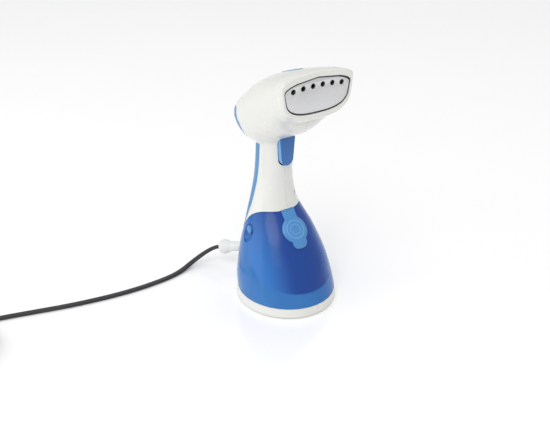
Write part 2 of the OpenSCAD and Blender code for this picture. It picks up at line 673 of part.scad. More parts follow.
// ---- water tank ----
button_z = base_h + button_up;
button_y = handle_y - 4.5;
button_row = row_at(BODY, 2 * 4);
button_x = mix(handle_w / 2, base_w / 2 - ring_taper, 0.544) - 0.3;   // surface beside the button
cup_r = 7.2;
stem_r = 3.4;
cup_fit = 0.4;
cup_x = button_x - 14;
button_in = button_x - 4.3;   // inner face of a button's head at rest
cap_top = [0, handle_y - 23.6, tank_z - 1.8];      // hinge of the fill cap
cap_mid = [0, handle_y - 38.3, tank_z - 20];       // centre of the fill hole on the surface
cap_dir = unit(cap_mid - cap_top);                 // down the tank's front
cap_out = [0, cap_dir[2], -cap_dir[1]];            // out of the tank's front
module tank_solid(inset) {
  intersection() {
    body_loft(inset);
    side_cut(bay_points(-gap - inset), reach / 2);
    translate([-reach / 2, -reach / 2, base_h + 0.3]) cube([reach, reach, reach]);
  }
}
module at_cap() { multmatrix([[1, 0, 0, cap_mid[0]], [0, -cap_dir[1], cap_out[1], cap_mid[1]],
  [0, -cap_dir[2], cap_out[2], cap_mid[2]], [0, 0, 0, 1]]) children(); }
module scoop(grow) {
  for (x = [-1, 1]) translate([x * (button_x + 2.6), button_y, button_z]) scale([7.2 + grow,
    9.5 + grow, 14 + grow])
    sphere(1, $fn = 32);
}
module tank_shell() {
  color("royalblue") moulded() difference() {
    union() {
      difference() {
        tank_solid(0);
        difference() {
          union() { tank_solid(tank_wall); translate([0, 0, -20]) intersection() {
            tank_solid(tank_wall); translate([-reach / 2, -reach / 2, 0]) cube([reach, reach,
              base_h + 30]); } }
          scoop(tank_wall);
          for (x = [-1, 1]) translate([0, button_y, button_z]) along_x(x > 0 ? cup_x - 2 : -button_x + 3)
            cylinder(r = cup_r, h = button_x - cup_x - 1, $fn = 32);
          translate([0, 0, port_z]) along_y(port_in) cylinder(r = port_r + 1.8, h = 20, $fn = 32);
        }
      }
    }
    scoop(0);
    for (x = [-1, 1]) translate([0, button_y, button_z]) along_x(x > 0 ? cup_x : -button_x)
      cylinder(r = stem_r + cup_fit, h = button_x - cup_x, $fn = 32);
    translate([0, 0, port_z]) along_y(port_in + 1.4) cylinder(r = port_r, h = 30, $fn = 32);
    translate([0, 0, port_z]) along_y(port_in - 1) cylinder(r = hose_r - 1.8, h = 30, $fn = 24);
    at_cap() translate([0, 0, -6]) cylinder(r = fill_r, h = 12, $fn = 48);
    knuckle_groove();
    for (x = [-1, 1]) translate([x > 0 ? button_in - button_travel - 0.4 : -button_x - 4, button_y, button_z])
      rotate([90, 0, 90]) linear_extrude(height = button_x + 4 - button_in + button_travel + 0.4)
        rotate(90) button_outline(0.4);
  }
}
floor_slope = 0.5;
module tank_floor() {
  t = 2;
  y0 = -base_d / 2 + 9.5;
  color("royalblue") moulded() intersection() {
    tank_solid(tank_wall + 0.1);
    side_cut([[y0 - 20, base_h + floor_up], [y0, base_h + floor_up],
      [reach, base_h + floor_up + floor_slope * (reach - y0)],
      [reach, base_h + floor_up + floor_slope * (reach - y0) + t], [y0, base_h + floor_up + t],
        [y0 - 20, base_h + floor_up + t]], reach / 2);
  }
}
port_r = 4.4;
port_in = bay_y - 17;      // inner end of the tank's outlet
module outlet_valve() {
  color("darkgray") translate([0, 0, port_z]) along_y(port_in + 1.5) difference() {
    cylinder(r = port_r - 0.1, h = 2.6, $fn = 48);
    translate([-2.2, -0.2, -1]) cube([4.4, 0.4, 5]);
  }
}
module inlet_spigot() {
  color("gainsboro") translate([0, 0, port_z]) difference() {
    union() {
      along_y(port_in + 5) cylinder(r = spigot_r, h = bay_y + 1.4 - port_in - 5, $fn = 48);
      along_y(bay_y + 1) cylinder(r = flange_r, h = 1.6, $fn = 48);
      along_y(bay_y + 1) cylinder(r = hose_r - 1, h = spigot_end - bay_y - 1, $fn = 32);
    }
    along_y(port_in) cylinder(r = hose_r - 1.8, h = reach, $fn = 32);
  }
}
module spigot_seal() {
  color("black") translate([0, 0, port_z]) along_y(port_in + 7) difference() {
    cylinder(r = spigot_r + 0.45, h = 1.8, $fn = 48);
    translate([0, 0, -1]) cylinder(r = spigot_r, h = 4, $fn = 48);
  }
}
pickup_end = [0, -37, base_h + floor_up + 15.5];
module pickup_tube() {
  path = fine([[0, port_in - 0.1, port_z], [0, port_in - 5, port_z - 0.4], [0, port_in - 12, port_z - 5],
    [0, port_in - 20, port_z - 14], [0, -12, mix(port_z, pickup_end[2], 0.56)],
      [0, -28, mix(port_z, pickup_end[2], 0.82)],
    pickup_end], 3);
  color("gainsboro") sweep(path, hose_r - 0.4, hose_r - 0.4, [1, 0, 0], 10);
}
module pickup_filter() {
  away = unit([0, -12, -mix(port_z, pickup_end[2], 0.82) + pickup_end[2]]);
  color("darkgray") aim(pickup_end + 1.2 * away, pickup_end + 7 * away) cylinder(r = 2.9, h = 4, $fn = 32);
}
pad_r = 15.4;
strap_w = 16.5;
tab_w = 18;
tab_drop = 22;
module cap_outline(grow) {
  circle(pad_r + grow, $fn = 48);
  hull() {
    translate([0, -6]) square([tab_w + 2 * grow, 4], center = true);
    translate([-tab_w / 2 + 7, -tab_drop + 7]) circle(7 + grow, $fn = 32);
    translate([tab_w / 2 - 7, -tab_drop + 7]) circle(7 + grow, $fn = 32);
  }
  translate([-strap_w / 2 - grow, 0]) square([strap_w + 2 * grow, norm(cap_top - cap_mid) - 0.6]);
}
knuckle_r = 1.2;
knuckle_up = 1.8;
module knuckle_groove() {
  translate(cap_top + knuckle_up * cap_out) along_x(-strap_w / 2 - 0.5)
    cylinder(r = knuckle_r + 0.4, h = strap_w + 1, $fn = 24);
}
module fill_cap() {
  color("cornflowerblue") moulded() union() {
    intersection() {
      difference() { body_loft(-2.2); body_loft(-0.4); }
      at_cap() translate([0, 0, -12]) linear_extrude(height = 24) cap_outline(0);
    }
    translate(cap_top + knuckle_up * cap_out) along_x(-strap_w / 2) cylinder(r = knuckle_r,
      h = strap_w, $fn = 24);
  }
}
module cap_plug() {
  color("lightblue") at_cap() difference() {
    translate([0, 0, -3]) cylinder(r = fill_r - 0.7, h = 3.2, $fn = 48);
    translate([0, 0, -4]) cylinder(r = fill_r - 2.5, h = 3.2, $fn = 48);
  }
}
module button_outline(grow) {
  polygon([for (a = [0 : 10 : 350]) [(5 + grow) * cos(a), (4 + grow) * sin(a)]]);
}
module button(side) {
  floor_x = button_in;
  translate([0, button_y, button_z]) mirror([side > 0 ? 0 : 1, 0, 0]) union() {
    along_x(floor_x) linear_extrude(height = 3.6) button_outline(0);
    along_x(cup_x + 5) cylinder(r = stem_r, h = floor_x - cup_x - 4.5, $fn = 32);
  }
}
module release_button_left() { color("lightskyblue") button(-1); }
module release_button_right() { color("lightskyblue") button(1); }
module button_spring(side) {
  translate([0, button_y, button_z]) mirror([side > 0 ? 0 : 1, 0, 0])
    along_x(cup_x + 0.1) spring(2.4, 0.35, 4.8, 4);
}
module button_spring_left() { color("silver") button_spring(-1); }
module button_spring_right() { color("silver") button_spring(1); }

// ---- cord, from its strain relief to its plug ----
module strain_relief() {
  l = norm(relief_out - relief_in);
  color("white") aim(relief_in, relief_out) difference() {
    rotate_extrude($fn = 48) polygon([
      [0, 0], [relief_flange, 0], [relief_flange, 2], [relief_neck, 2], [relief_neck, l - 17],
      [relief_neck + 0.4, l - 14.5], [relief_neck + 1.1, l - 12], [8.1, l - 9.5], [8.8, l - 7.2], [9, l - 5],
      [8.7, l - 2.8], [7.8, l - 1], [6.4, l], [0, l]]);
    translate([0, 0, l - 4]) cylinder(r = 3.6, h = 5, $fn = 32);
  }
}
module cord_clamp() {
  color("gainsboro") difference() {
    translate([-17, bay_y + wall + 0.3, 50]) cube([22, 5, 9]);
    translate([-11.7, bay_y + wall + 1, 49]) cube([5.4, 8, 12]);
  }
}
module internal_leads() {
  color("black") for (s = [-1, 1])
    sweep(fine([[-9 + 1.2 * s, 46.5, 45], [-9 + 1.2 * s, bay_y + wall + 4, 62],
      [-12 + 1.2 * s, bay_y + 6, 80],
      [-13 + s, handle_y + 16, tank_z - 6], [-15.1, pump_y - 3 + 1.6 * s, tank_z + 12],
        [-15.1, pump_y - 3 + 1.6 * s, neck_z - 18],
      [-12.2 + 1.2 * s, pump_y + 1, neck_z + 4], [-11 + 2 * s, board_y - 10, neck_z + 16],
        [-10 + 4 * s, board_y - 1.2, neck_z + 21]], 2),
      0.9, 0.9, [1, 0, 0], 8);
}
cord_w = 7;       // the flat twin cord's width
cord_t = 3.6;     // and its thickness
CORD = [
  [-28.5, 90.9, 27.3], [-29.9, 93.5, 26.5], [-33.2, 99.5, 24.3], [-38.6, 104.6, 20.6], [-46, 108.6, 15.6],
  [-55, 110.8, 10.4], [-65, 110.8, 6], [-76.5, 108.3, 3], [-88, 105.2, 2.1], [-100, 103, 1.9],
  [-114, 101.8, 1.9], [-138, 101.4, 1.9], [-166, 103.6, 1.9], [-196, 108.4, 1.9], [-226, 115, 1.9],
  [-256, 123.4, 1.9], [-286, 131.8, 1.9], [-314, 138, 2.2], [-340, 141.2, 2.7], [-350, 141.5, 2.8]];
coil_at = [-360, 100];
coil_mean = 38;
coil_cols = 2;
coil_layers = 4;
coil_lift = 0.9;
TAIL = [
  [-401.5, 96, 13.9], [-401.5, 86, 12.9], [-401.4, 76, 10.8], [-401.1, 66, 8.8], [-400.6, 56, 8],
    [-400, 46, 8], [-400, 36, 8]];
module cord_run() { color("black") sweep(fine(CORD, 2), cord_t / 2, cord_w / 2, [0, 0, 1], 12); }
module cord_tail() { color("black") sweep(fine(TAIL, 2), cord_t / 2, cord_w / 2, [0, 0, 1], 12); }
module cord_coil() {
  h = coil_layers * (cord_t + 0.1);
  w = coil_cols * (cord_w + 0.1);
  color("black") translate([coil_at[0], coil_at[1], coil_lift])
    rotate_extrude($fn = 96) translate([coil_mean - w / 2, 0]) square([w, h]);
}
module cord_tie() {
  h = coil_layers * (cord_t + 0.1);
  w = coil_cols * (cord_w + 0.1);
  color("dimgray") translate([coil_at[0], coil_at[1] - coil_mean, 0]) difference() {
    translate([-5, -w / 2 - 1.2, 0.1]) cube([10, w + 2.6, h + 1.6]);
    translate([-6, -w / 2 - 0.5, 0.8]) cube([12, w + 1.3, h + 0.2]);
  }
}
plug_w = 26;
plug_l = 32;
plug_h = 16;
plug_at = [TAIL[len(TAIL) - 1][0], TAIL[len(TAIL) - 1][1] + 4, plug_h / 2];
module plug_body() {
  color("black") translate(plug_at) difference() {
    hull() {
      translate([-plug_w / 2 + 3, -plug_l + 3, 0]) cylinder(r = 3, h = plug_h - 0.2, center = true, $fn = 32);
      translate([plug_w / 2 - 3, -plug_l + 3, 0]) cylinder(r = 3, h = plug_h - 0.2, center = true, $fn = 32);
      translate([-plug_w / 2 + 5, -10, 0]) cylinder(r = 4, h = plug_h - 2, center = true, $fn = 32);
      translate([plug_w / 2 - 5, -10, 0]) cylinder(r = 4, h = plug_h - 2, center = true, $fn = 32);
      translate([0, -2, 0]) rotate([90, 0, 0]) cylinder(r = 5.5, h = 4, center = true, $fn = 32);
    }
    translate([-3.6, -4, -1.9]) cube([7.2, 5, 3.8]);
  }
}
module plug_blades() {
  color("goldenrod") for (x = [-1, 1]) translate(plug_at + [x * 6.35 - 0.75, -plug_l - 17, -3.15])
    cube([1.5, 17, 6.3]);
}

base();
base_pad();
base_screws();
housing_left();
housing_right();
housing_screws();
rear_grip();
head_rear_trim();
indicator_lens();
indicator_lamp();
nozzle_ring();
plate_gasket();
steam_plate();
steam_jets();
steam_manifold();
boiler_body();
boiler_gasket();
boiler_cover();
boiler_screws();
heating_element();
thermostat();
thermal_fuse();
trigger();
trigger_pin();
trigger_spring();
switch_bracket();
microswitch();
control_board();
pump_tube();
pump_coil();
pump_frame();
pump_plunger();
pump_spring();
suction_hose();
delivery_hose();
tank_shell();
tank_floor();
fill_cap();
cap_plug();
release_button_left();
release_button_right();
button_spring_left();
button_spring_right();
pickup_tube();
pickup_filter();
outlet_valve();
inlet_spigot();
spigot_seal();
strain_relief();
cord_clamp();
internal_leads();
cord_run();
cord_coil();
cord_tail();
cord_tie();
plug_body();
plug_blades();
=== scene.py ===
import json
import math

import bmesh
import bpy
from mathutils import Matrix, Vector


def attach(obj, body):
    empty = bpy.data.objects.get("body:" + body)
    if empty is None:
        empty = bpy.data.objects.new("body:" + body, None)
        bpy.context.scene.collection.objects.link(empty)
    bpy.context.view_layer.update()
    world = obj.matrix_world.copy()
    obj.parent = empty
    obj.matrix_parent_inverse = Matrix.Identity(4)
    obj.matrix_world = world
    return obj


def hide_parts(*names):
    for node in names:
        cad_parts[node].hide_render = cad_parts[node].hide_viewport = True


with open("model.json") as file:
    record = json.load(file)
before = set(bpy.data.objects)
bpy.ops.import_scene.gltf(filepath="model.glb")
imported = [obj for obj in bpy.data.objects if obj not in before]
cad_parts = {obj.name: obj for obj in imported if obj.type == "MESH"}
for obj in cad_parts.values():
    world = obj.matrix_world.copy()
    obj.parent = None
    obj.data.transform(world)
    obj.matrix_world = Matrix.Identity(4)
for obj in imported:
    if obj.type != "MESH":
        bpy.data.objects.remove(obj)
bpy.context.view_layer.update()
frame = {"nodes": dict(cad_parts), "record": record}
nodes = frame["nodes"]
print("frame loaded:", len(nodes), "nodes")


# --- camera ---
cameraSet = {"lens": 51.34, "distance": 0.9, "azimuth": -35.0, "elevation": 27.39,
             "target": (0.0, 0.02208, 0.08457)}


def placeCamera():
    turn, lift = math.radians(cameraSet["azimuth"]), math.radians(cameraSet["elevation"])
    back = Vector((math.sin(turn) * math.cos(lift), -math.cos(turn) * math.cos(lift), math.sin(lift)))
    data = bpy.data.cameras.new("camera")
    data.lens, data.sensor_width = cameraSet["lens"], 36.0
    data.clip_start, data.clip_end = 0.02, 20.0
    eye = bpy.data.objects.new("camera", data)
    eye.location = Vector(cameraSet["target"]) + back * cameraSet["distance"]
    eye.rotation_euler = (-back).to_track_quat("-Z", "Y").to_euler()
    bpy.context.scene.collection.objects.link(eye)
    bpy.context.scene.camera = eye


placeCamera()
print("camera placed")


# --- material building ---
def freshMaterial(name):
    mat = bpy.data.materials.new(name)
    mat.use_nodes = True
    tree = mat.node_tree
    tree.nodes.clear()
    out = tree.nodes.new("ShaderNodeOutputMaterial")
    shader = tree.nodes.new("ShaderNodeBsdfPrincipled")
    tree.links.new(shader.outputs["BSDF"], out.inputs["Surface"])
    return mat, tree, shader


def pattern(tree, scale, detail=3.0, stretch=(1, 1, 1), turn=(0, 0, 0)):
    coords = tree.nodes.new("ShaderNodeTexCoord")
    place = tree.nodes.new("ShaderNodeMapping")
    place.inputs["Scale"].default_value = stretch
    place.inputs["Rotation"].default_value = [math.radians(t) for t in turn]
    grain = tree.nodes.new("ShaderNodeTexNoise")
    grain.inputs["Scale"].default_value = scale
    grain.inputs["Detail"].default_value = detail
    tree.links.new(coords.outputs["Object"], place.inputs["Vector"])
    tree.links.new(place.outputs["Vector"], grain.inputs["Vector"])
    return grain.outputs[0]


def spread(tree, signal, low, high, darkest=0.3, lightest=0.7):
    fit = tree.nodes.new("ShaderNodeMapRange")
    fit.inputs["From Min"].default_value, fit.inputs["From Max"].default_value = darkest, lightest
    fit.inputs["To Min"].default_value, fit.inputs["To Max"].default_value = low, high
    tree.links.new(signal, fit.inputs["Value"])
    return fit.outputs["Result"]


def tint(tree, signal, stops):
    ramp = tree.nodes.new("ShaderNodeValToRGB")
    while len(ramp.color_ramp.elements) < len(stops):
        ramp.color_ramp.elements.new(0.5)
    for mark, (at, colour) in zip(ramp.color_ramp.elements, stops):
        mark.position, mark.color = at, (*colour, 1.0)
    tree.links.new(signal, ramp.inputs["Fac"])
    return ramp.outputs["Color"]


def raised(tree, shader, signal, strength, depth, under=None):
    bump = tree.nodes.new("ShaderNodeBump")
    bump.inputs["Strength"].default_value = strength
    bump.inputs["Distance"].default_value = depth
    tree.links.new(signal, bump.inputs["Height"])
    if under is not None:
        tree.links.new(under, bump.inputs["Normal"])
    tree.links.new(bump.outputs["Normal"], shader.inputs["Normal"])
    return bump.outputs["Normal"]


def shade(colour, amount):
    return tuple(min(1.0, max(0.0, c * amount)) for c in colour)


def mouldedPlastic(name, look):
    mat, tree, shader = freshMaterial(name)
    cloud = pattern(tree, look.get("cloud", 18.0), 2.0)
    low, high = shade(look["colour"], look.get("dark", 0.975)), shade(look["colour"], look.get("light", 1.01))
    tree.links.new(tint(tree, cloud, [(0.3, low), (0.7, high)]), shader.inputs["Base Color"])
    flow = pattern(tree, look.get("flow", 60.0), 3.0, (1, 1, 0.4))
    rough = look["rough"]
    tree.links.new(spread(tree, flow, rough * 0.85, rough * 1.2), shader.inputs["Roughness"])
    skin = pattern(tree, look.get("skin", 900.0), 2.0)
    under = raised(tree, shader, skin, look.get("skinStrength", 0.05), 0.0002)
    ripple = pattern(tree, look.get("ripple", 45.0), 1.0)
    raised(tree, shader, ripple, look.get("rippleStrength", 0.03), 0.0008, under)
    shader.inputs["IOR"].default_value = look.get("ior", 1.49)
    shader.inputs["Coat Weight"].default_value = look.get("coat", 0.0)
    shader.inputs["Coat Roughness"].default_value = look.get("coatRough", 0.08)
    shader.inputs["Transmission Weight"].default_value = look.get("through", 0.0)
    shader.inputs["Subsurface Weight"].default_value = look.get("soft", 0.0)
    shader.inputs["Subsurface Scale"].default_value = 0.004
    return mat


def workedMetal(name, look):
    mat, tree, shader = freshMaterial(name)
    lines = pattern(tree, look["scale"], 5.0, look.get("stretch", (1, 1, 1)), look.get("turn", (0, 0, 0)))
    low, high = shade(look["colour"], look.get("dark", 0.86)), shade(look["colour"], look.get("light", 1.06))
    tree.links.new(tint(tree, lines, [(0.28, low), (0.72, high)]), shader.inputs["Base Color"])
    tree.links.new(spread(tree, lines, look["rough"] * 0.75, look["rough"] * 1.3), shader.inputs["Roughness"])
    raised(tree, shader, lines, look.get("lift", 0.12), 0.0001)
    shader.inputs["Metallic"].default_value = look.get("metal", 1.0)
    return mat


# the tank's wall is deep blue over the water space; its side colour, paler towards both sides, is a painted
# light band, and the skirt under its floor is paler as painted light from inside the body
tankLook = {"deep": (0.013, 0.066, 0.33), "side": (0.04, 0.20, 0.58), "skirtWithPaintedLight": (0.045, 0.21, 0.56),
            "front": -0.051, "low": 0.0265, "rise": 0.25, "curve": 5.0, "line": 0.0016, "paintedSideLightFrom": 0.016,
            "paintedSideLightTo": 0.048, "rough": 0.2}


def sums(tree, action, a, b=None, clamp=False):
    node = tree.nodes.new("ShaderNodeMath")
    node.operation, node.use_clamp = action, clamp
    for slot, value in zip(node.inputs, (a, b)):
        if value is None:
            continue
        if isinstance(value, (int, float)):
            slot.default_value = value
        else:
            tree.links.new(value, slot)
    return node.outputs[0]


def blendColours(tree, share, first, second):
    node = tree.nodes.new("ShaderNodeMix")
    node.data_type = "RGBA"
    tree.links.new(share, node.inputs["Factor"])
    for slot, value in ((node.inputs["A"], first), (node.inputs["B"], second)):
        if isinstance(value, tuple):
            slot.default_value = (*value, 1.0)
        else:
            tree.links.new(value, slot)
    return node.outputs["Result"]


def tankPlastic():
    mat, tree, shader = freshMaterial("tankBlue")
    coords = tree.nodes.new("ShaderNodeTexCoord")
    axes = tree.nodes.new("ShaderNodeSeparateXYZ")
    tree.links.new(coords.outputs["Object"], axes.inputs[0])
    back = sums(tree, "SUBTRACT", axes.outputs["Y"], tankLook["front"])
    climb = sums(tree, "ADD", sums(tree, "MULTIPLY", back, tankLook["rise"]),
                 sums(tree, "MULTIPLY", sums(tree, "MULTIPLY", back, back), tankLook["curve"]))
    above = sums(tree, "SUBTRACT", axes.outputs["Z"], sums(tree, "ADD", climb, tankLook["low"]))
    water = sums(tree, "ADD", sums(tree, "DIVIDE", above, tankLook["line"]), 0.5, True)
    # paler towards both sides: the side colour is a painted light band, blended in by distance from the
    # middle
    out = sums(tree, "ABSOLUTE", axes.outputs["X"])
    reach = tankLook["paintedSideLightTo"] - tankLook["paintedSideLightFrom"]
    side = sums(tree, "DIVIDE", sums(tree, "SUBTRACT", out, tankLook["paintedSideLightFrom"]), reach, True)
    soft = tree.nodes.new("ShaderNodeMapRange")
    soft.interpolation_type = "SMOOTHSTEP"
    tree.links.new(side, soft.inputs["Value"])
    wallWithPaintedSideLight = blendColours(tree, soft.outputs["Result"], tankLook["deep"], tankLook["side"])
    cloud = pattern(tree, 22.0, 2.0)
    # the skirt under the floor line is paler as painted light from inside the body, with random tone from the
    # cloud
    skirtWithPaintedLight = blendColours(tree, spread(tree, cloud, 0.0, 0.25), tankLook["skirtWithPaintedLight"], tankLook["deep"])
    tree.links.new(blendColours(tree, water, skirtWithPaintedLight, wallWithPaintedSideLight), shader.inputs["Base Color"])
    rough = tankLook["rough"]
    tree.links.new(spread(tree, cloud, rough * 0.8, rough * 1.2), shader.inputs["Roughness"])
    raised(tree, shader, pattern(tree, 40.0, 1.0), 0.04, 0.0008)
    shader.inputs["Specular IOR Level"].default_value = 0.28
    shader.inputs["Coat Weight"].default_value = 0.06
    shader.inputs["Coat Roughness"].default_value = 0.12
    shader.inputs["Transmission Weight"].default_value = 0.1
    return mat


looks = {
    "white": mouldedPlastic("glossWhite", {"colour": (0.80, 0.80, 0.765), "rough": 0.24, "coat": 0.3}),
    "reliefWhite": mouldedPlastic("reliefWhite", {"colour": (0.78, 0.78, 0.76), "rough": 0.32}),
    "tank": tankPlastic(),
    "capBlue": mouldedPlastic("capBlue", {"colour": (0.075, 0.27, 0.60), "rough": 0.24, "coat": 0.15}),
    # a lighter copy of the cap blue: painted highlight on the cap's raised rings
    "capRingPaintedHighlight": mouldedPlastic("capRingPaintedHighlight", {"colour": (0.12, 0.36, 0.72), "rough": 0.22, "coat": 0.2}),
    "lensBlue": mouldedPlastic("lensBlue", {"colour": (0.13, 0.34, 0.60), "rough": 0.18, "coat": 0.3,
                                            "soft": 0.1}),
    "gripBlue": mouldedPlastic("gripBlue", {"colour": (0.085, 0.27, 0.52), "rough": 0.42, "skin": 1600.0,
                                            "skinStrength": 0.16}),
    "triggerBlue": mouldedPlastic("triggerBlue", {"colour": (0.03, 0.15, 0.44), "rough": 0.3, "coat": 0.1}),
    # a lighter copy of the trigger blue, painted light for the lever's side walls
    "triggerSidePaintedLight": mouldedPlastic("triggerSidePaintedLight", {"colour": (0.15, 0.38, 0.74), "rough": 0.24, "coat": 0.2}),
    "face": workedMetal("brushedFace", {"colour": (0.74, 0.745, 0.755), "rough": 0.46, "scale": 90.0,
                                        "lift": 0.015, "dark": 0.95, "light": 1.02,
                                        "stretch": (0.5, 1, 24), "turn": (0, 38, 0), "metal": 0.9}),
    "cast": workedMetal("castAlloy", {"colour": (0.55, 0.56, 0.57), "rough": 0.5, "scale": 260.0,
                                       "lift": 0.3}),
    "steel": workedMetal("plainSteel", {"colour": (0.62, 0.62, 0.63), "rough": 0.28, "scale": 400.0}),
    "copper": workedMetal("windingCopper", {"colour": (0.62, 0.28, 0.12), "rough": 0.3, "scale": 40.0,
                                            "stretch": (0.3, 0.3, 60), "lift": 0.5}),
    "brass": workedMetal("bladeBrass", {"colour": (0.70, 0.52, 0.24), "rough": 0.26, "scale": 240.0,
                                        "stretch": (1, 0.1, 1)}),
    "blackRubber": mouldedPlastic("blackRubber", {"colour": (0.022, 0.022, 0.024), "rough": 0.55,
                                                  "skin": 1800.0,
                                                  "skinStrength": 0.25, "light": 1.3}),
    "jetBlack": mouldedPlastic("jetBlack", {"colour": (0.012, 0.012, 0.013), "rough": 0.25, "light": 1.3}),
    "cordBlack": mouldedPlastic("cordBlack", {"colour": (0.018, 0.018, 0.02), "rough": 0.38, "skin": 1400.0,
                                              "skinStrength": 0.1, "light": 1.3}),
    "silicone": mouldedPlastic("silicone", {"colour": (0.70, 0.70, 0.66), "rough": 0.45, "soft": 0.2}),
    "redSilicone": mouldedPlastic("redSilicone", {"colour": (0.48, 0.08, 0.05), "rough": 0.5}),
    "blackPlastic": mouldedPlastic("blackPlastic", {"colour": (0.025, 0.025, 0.028), "rough": 0.42,
                                                    "skin": 1200.0,
                                                    "skinStrength": 0.2, "light": 1.3}),
    "greyPlastic": mouldedPlastic("greyPlastic", {"colour": (0.5, 0.5, 0.5), "rough": 0.45,
                                                  "skinStrength": 0.15}),
    "board": mouldedPlastic("boardGreen", {"colour": (0.03, 0.22, 0.09), "rough": 0.3, "dark": 0.8,
                                           "light": 1.15}),
    "amber": mouldedPlastic("amberLamp", {"colour": (0.95, 0.45, 0.10), "rough": 0.1, "through": 0.6}),
}
print("materials made:", len(looks))


# --- shared modelling steps ---
def only(piece):
    bpy.ops.object.select_all(action="DESELECT")
    piece.select_set(True)
    bpy.context.view_layer.objects.active = piece


def settle(piece):
    only(piece)
    bpy.ops.object.transform_apply(location=True, rotation=True, scale=True)


def paint(piece, *names):
    piece.data.materials.clear()
    for name in names:
        piece.data.materials.append(looks[name])


def finishPiece(piece, name, body, replaced=()):
    piece.name = name
    if replaced:
        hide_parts(*replaced)
    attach(piece, body)
    return piece


bodyOf = {node: body for body, held in frame["record"]["behaviour"]["bodies"].items() for node in held}


def smoothed(node, name, look, angle=38.0, edge=0.0):
    # a welded copy of a moulding with rounded shading, and a small edge radius where asked
    source = nodes[node]
    piece = bpy.data.objects.new(name, source.data.copy())
    bpy.context.scene.collection.objects.link(piece)
    only(piece)
    bpy.ops.object.mode_set(mode="EDIT")
    bpy.ops.mesh.select_all(action="SELECT")
    bpy.ops.mesh.remove_doubles(threshold=0.00001)
    bpy.ops.mesh.customdata_custom_splitnormals_clear()
    if edge:
        bpy.ops.mesh.dissolve_limited(angle_limit=math.radians(0.6))
    bpy.ops.object.mode_set(mode="OBJECT")
    if edge:
        rounding = piece.modifiers.new("edge", "BEVEL")
        rounding.width, rounding.segments = edge, 2
        rounding.limit_method, rounding.angle_limit = "ANGLE", math.radians(40)
        rounding.use_clamp_overlap = True
        bpy.ops.object.modifier_apply(modifier="edge")
    bpy.ops.object.shade_smooth_by_angle(angle=math.radians(angle))
    paint(piece, look)
    return finishPiece(piece, name, bodyOf[node], [node])


def curvePoints(marks, step):
    # an even walk along a Catmull-Rom line through the marks
    marks = [Vector(m) for m in marks]
    ends = [marks[0] * 2 - marks[1]] + marks + [marks[-1] * 2 - marks[-2]]
    dense = []
    for a, b, c, d in zip(ends, ends[1:], ends[2:], ends[3:]):
        for k in range(12):
            t = k / 12
            dense.append(0.5 * (2 * b + (c - a) * t + (2 * a - 5 * b + 4 * c - d) * t * t
                                + (3 * b - a - 3 * c + d) * t ** 3))
    dense.append(marks[-1])
    walk, left = [dense[0]], step
    for p, q in zip(dense, dense[1:]):
        span = (q - p).length
        while span >= left > 0:
            p = p + (q - p) * (left / (q - p).length)
            walk.append(p)
            span, left = (q - p).length, step
        left -= span
    if (walk[-1] - dense[-1]).length > step * 0.4:
        walk.append(dense[-1])
    return walk


# --- mains lead ---
lead = {"width": 0.007, "thick": 0.0036, "groove": 0.0007, "step": 0.0035, "turns": 8.25,
        "centre": (-0.360, 0.100), "radii": (0.0415, 0.0345), "lift": 0.0028, "pitch": 0.0037,
        "exit": (-0.0299, 0.0935, 0.0265)}
leadRun = [(-28.5, 90.9, 27.3), (-29.9, 93.5, 26.5), (-33.2, 99.5, 24.3), (-38.6, 104.6, 20.6),
           (-46, 108.6, 15.6),
           (-55, 110.8, 10.4), (-65, 110.8, 6), (-76.5, 108.3, 3), (-88, 105.2, 2.1), (-100, 103, 1.9),
           (-114, 101.8, 1.9), (-138, 101.4, 1.9), (-166, 103.6, 1.9), (-196, 108.4, 1.9), (-226, 115, 1.9),
           (-256, 123.4, 1.9), (-286, 131.8, 1.9), (-314, 138, 2.2), (-340, 141.2, 2.7), (-350, 141.5, 2.8)]
leadTail = [(-401.5, 96, 13.9), (-401.5, 86, 12.9), (-401.4, 76, 10.8), (-401.1, 66, 8.8), (-400.6, 56, 8),
            (-400, 46, 8), (-400, 36, 8)]


def woundTurns():
    # the spare length, wound in two columns and four layers
    marks, perTurn, passes = [], 40, 8
    total = int(lead["turns"] * perTurn)
    column = [0, 1, 1, 0, 0, 1, 1, 0]
    for k in range(total + 1):
        u = k / total * passes
        layer = min(passes - 1, int(u))
        ease = max(0.0, (u - layer - 0.84) / 0.16) if layer < passes - 1 else 0.0
        ease = ease * ease * (3 - 2 * ease)
        after = min(passes - 1, layer + 1)
        radius = lead["radii"][column[layer]] * (1 - ease) + lead["radii"][column[after]] * ease
        level = (layer // 2) * (1 - ease) + (after // 2) * ease
        angle = math.pi / 2 + 2 * math.pi * k / perTurn
        across, along = radius * math.cos(angle), radius * math.sin(angle)
        marks.append((lead["centre"][0] + across, lead["centre"][1] + along,
                      lead["lift"] + lead["pitch"] * level))
    return marks


